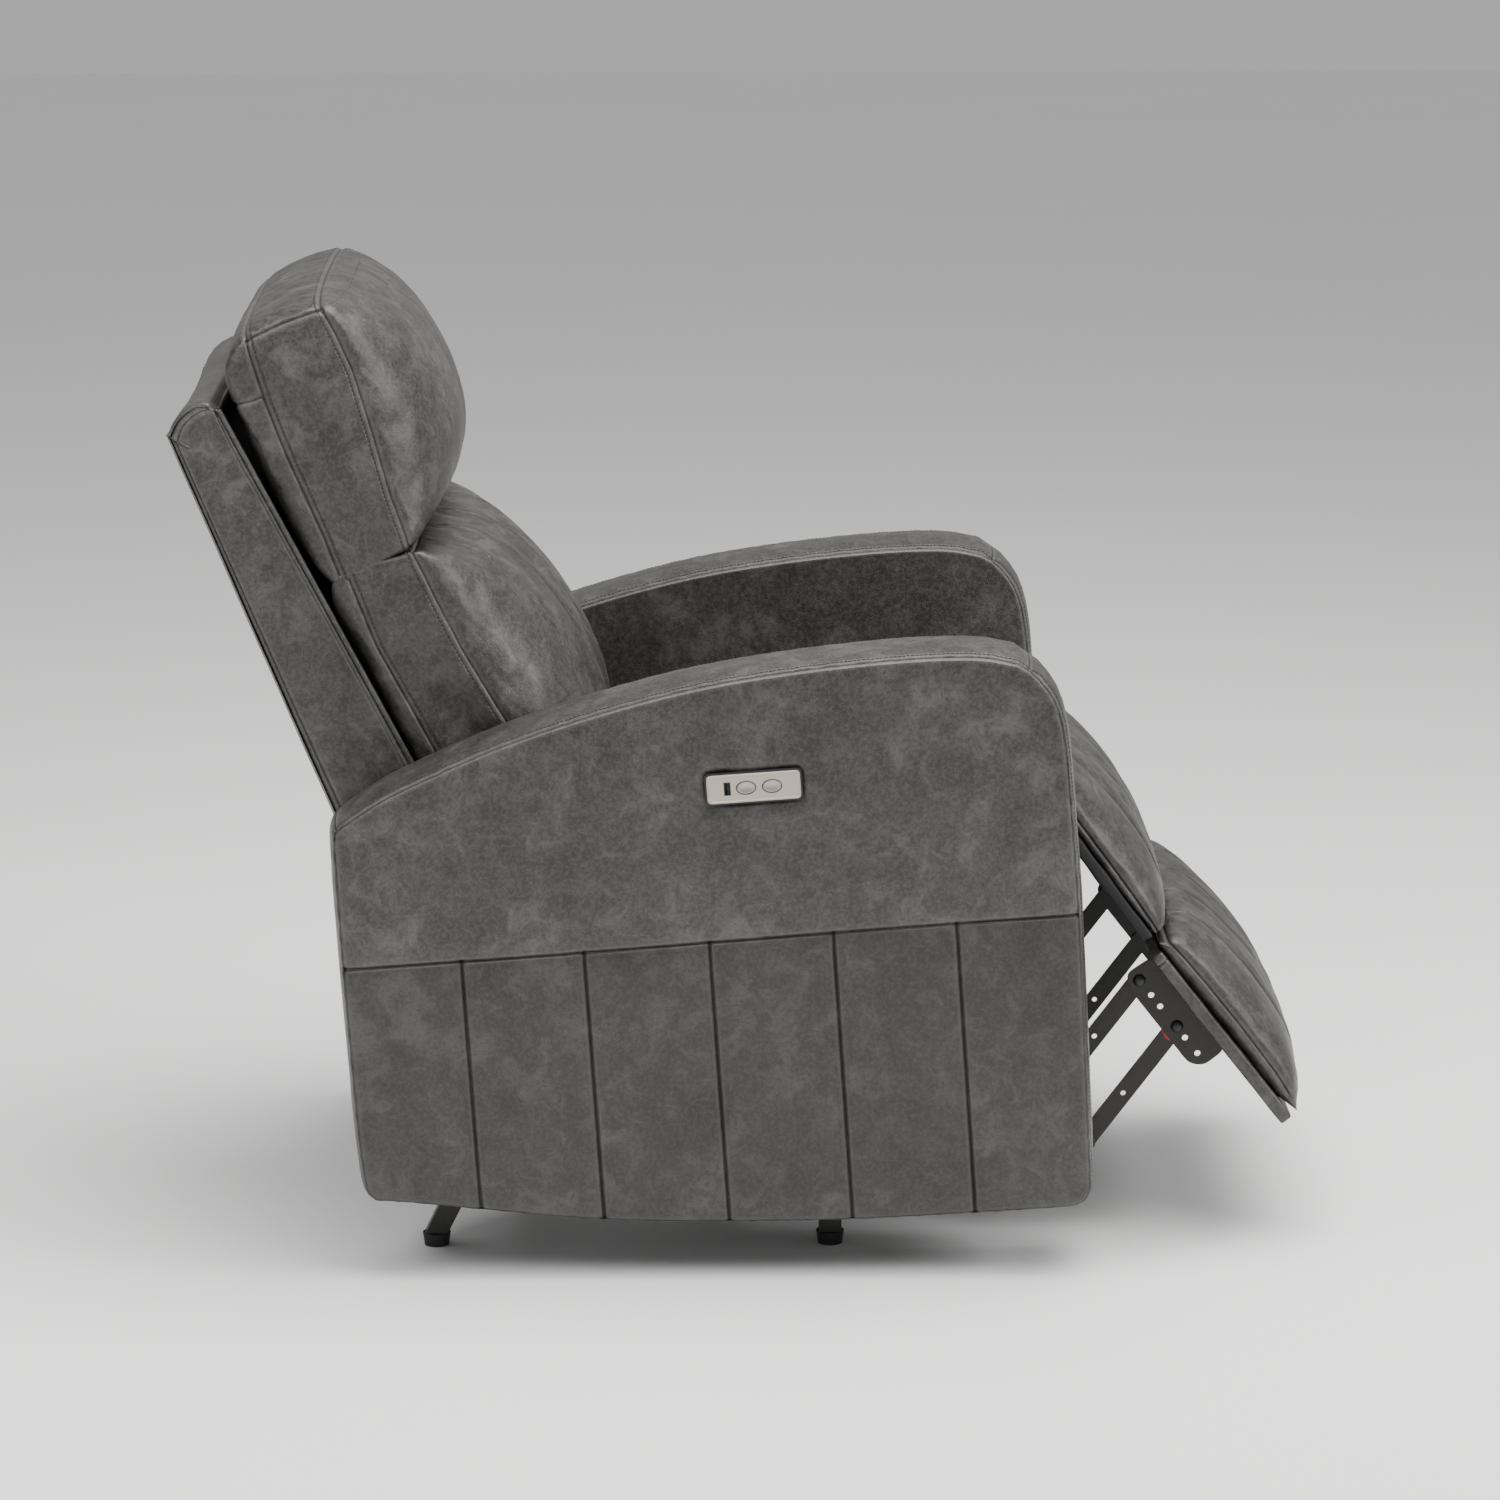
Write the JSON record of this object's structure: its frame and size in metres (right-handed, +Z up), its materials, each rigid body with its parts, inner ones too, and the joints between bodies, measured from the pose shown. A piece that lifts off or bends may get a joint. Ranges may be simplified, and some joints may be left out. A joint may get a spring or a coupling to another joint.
{
  "type": "recliner armchair",
  "caption": "Upholstered power rocker recliner armchair with a lifting footrest, a reclining back and push-button controls on one arm.",
  "frame": {"origin": "floor level, in the middle of the object's box", "axes": "+Z up, -Y the way the sitter faces, +X the sitter's left"},
  "size_m": [0.7845, 1.1994, 1.0233],
  "materials": {
    "leather": "satin pull-up leather, charcoal grey",
    "black_steel": "satin black paint",
    "wood": "sawn",
    "black_plastic": "fine texture",
    "champagne_metal": "satin champagne",
    "rubber": "matt",
    "dust_cover": "black non-woven dust cover",
    "zinc_steel": "zinc plated"
  },
  "bodies": {
    "base": {"base_rail_R": "black_steel", "base_rail_L": "black_steel", "base_cross_front": "black_steel", "base_cross_rear": "black_steel", "glide_front_R": "rubber", "glide_front_L": "rubber", "glide_rear_R": "rubber", "glide_rear_L": "rubber", "rocker_mount_R": "black_steel", "rocker_mount_L": "black_steel", "rocker_spring_R": "zinc_steel", "rocker_spring_L": "zinc_steel"},
    "chassis": {"arm_cover_R": "leather", "arm_cover_L": "leather", "arm_frame_R": "wood", "arm_frame_L": "wood", "control_housing": "black_plastic", "control_plate": "champagne_metal", "usb_port": "black_plastic", "seat_side_rail_R": "wood", "seat_side_rail_L": "wood", "front_rail": "wood", "rear_rail": "wood", "seat_spring_1": "zinc_steel", "seat_spring_2": "zinc_steel", "seat_spring_3": "zinc_steel", "seat_cushion": "leather", "side_plate_R": "black_steel", "side_plate_L": "black_steel", "motor": "black_plastic", "actuator_rail": "zinc_steel", "power_inlet": "black_plastic"},
    "back": {"back_shell": "leather", "back_upright_R": "wood", "back_upright_L": "wood", "back_bracket_R": "black_steel", "back_bracket_L": "black_steel", "back_top_rail": "wood", "headrest_cushion": "leather", "lumbar_cushion": "leather"},
    "lift": {"lift_link_R": "black_steel", "lift_link_L": "black_steel", "drive_tube": "black_steel"},
    "control_links": {"control_link_R": "black_steel", "control_link_L": "black_steel"},
    "upper_links": {"upper_link_R": "black_steel", "upper_link_L": "black_steel"},
    "lower_links": {"lower_link_R": "black_steel", "lower_link_L": "black_steel"},
    "footrest": {"footrest_bracket_R": "black_steel", "footrest_bracket_L": "black_steel", "footrest_board": "leather", "footrest_pad": "leather"},
    "chaise": {"chaise_board": "dust_cover", "chaise_pad": "leather"},
    "drive_block": {"drive_block": "black_plastic"},
    "open_button": {"open_button": "champagne_metal"},
    "close_button": {"close_button": "champagne_metal"}
  },
  "joints": [
    {"name": "rock", "type": "hinge", "parent": "base", "child": "chassis", "pos_m": [0, 0.118, 0.11], "axis": [-1, 0, 0], "range_deg": [-5, 4], "stiffness_Nm_per_rad": 3000},
    {"name": "recline", "type": "hinge", "parent": "chassis", "child": "back", "pos_m": [0, 0.35082, 0.31426], "axis": [-1, 0, 0], "range_deg": [0, 38]},
    {"name": "footrest_lift", "type": "hinge", "parent": "chassis", "child": "lift", "pos_m": [0, -0.20339, 0.3078], "axis": [-1, 0, 0], "range_deg": [-34, 55]},
    {"name": "upper_link_pivot", "type": "hinge", "parent": "lift", "child": "upper_links", "pos_m": [0, -0.32679, 0.15041], "axis": [-1, 0, 0], "range_deg": [-83, 51.5]},
    {"name": "lower_link_pivot", "type": "hinge", "parent": "lift", "child": "lower_links", "pos_m": [0, -0.36789, 0.09954], "axis": [-1, 0, 0], "range_deg": [-83, 51.5]},
    {"name": "footrest_pivot", "type": "hinge", "parent": "upper_links", "child": "footrest", "pos_m": [0, -0.42308, 0.2782], "axis": [-1, 0, 0], "range_deg": [-51.5, 83]},
    {"name": "control_link_pivot", "type": "hinge", "parent": "chassis", "child": "control_links", "pos_m": [0, -0.17234, 0.28007], "axis": [-1, 0, 0], "range_deg": [-34, 55]},
    {"name": "chaise_hinge", "type": "hinge", "parent": "chassis", "child": "chaise", "pos_m": [0, -0.32075, 0.50156], "axis": [-1, 0, 0], "range_deg": [-28, 45]},
    {"name": "drive_slide", "type": "slide", "parent": "chassis", "child": "drive_block", "axis": [0, -0.9976, 0.0698], "range_m": [-0.031, 0.05]},
    {"name": "open_button_press", "type": "slide", "parent": "chassis", "child": "open_button", "axis": [1, 0, 0], "range_m": [0, 0.0015], "stiffness_N_per_m": 600},
    {"name": "close_button_press", "type": "slide", "parent": "chassis", "child": "close_button", "axis": [1, 0, 0], "range_m": [0, 0.0015], "stiffness_N_per_m": 600}
  ],
  "couplings": [
    {"joint": "upper_link_pivot", "follows": "footrest_lift", "ratio": -1.5},
    {"joint": "lower_link_pivot", "follows": "footrest_lift", "ratio": -1.5},
    {"joint": "footrest_pivot", "follows": "footrest_lift", "ratio": 1.5},
    {"joint": "control_link_pivot", "follows": "footrest_lift", "ratio": 0.984},
    {"joint": "chaise_hinge", "follows": "footrest_lift", "ratio": 0.8},
    {"joint": "drive_slide", "follows": "footrest_lift", "m_per_rad": 0.051}
  ]
}
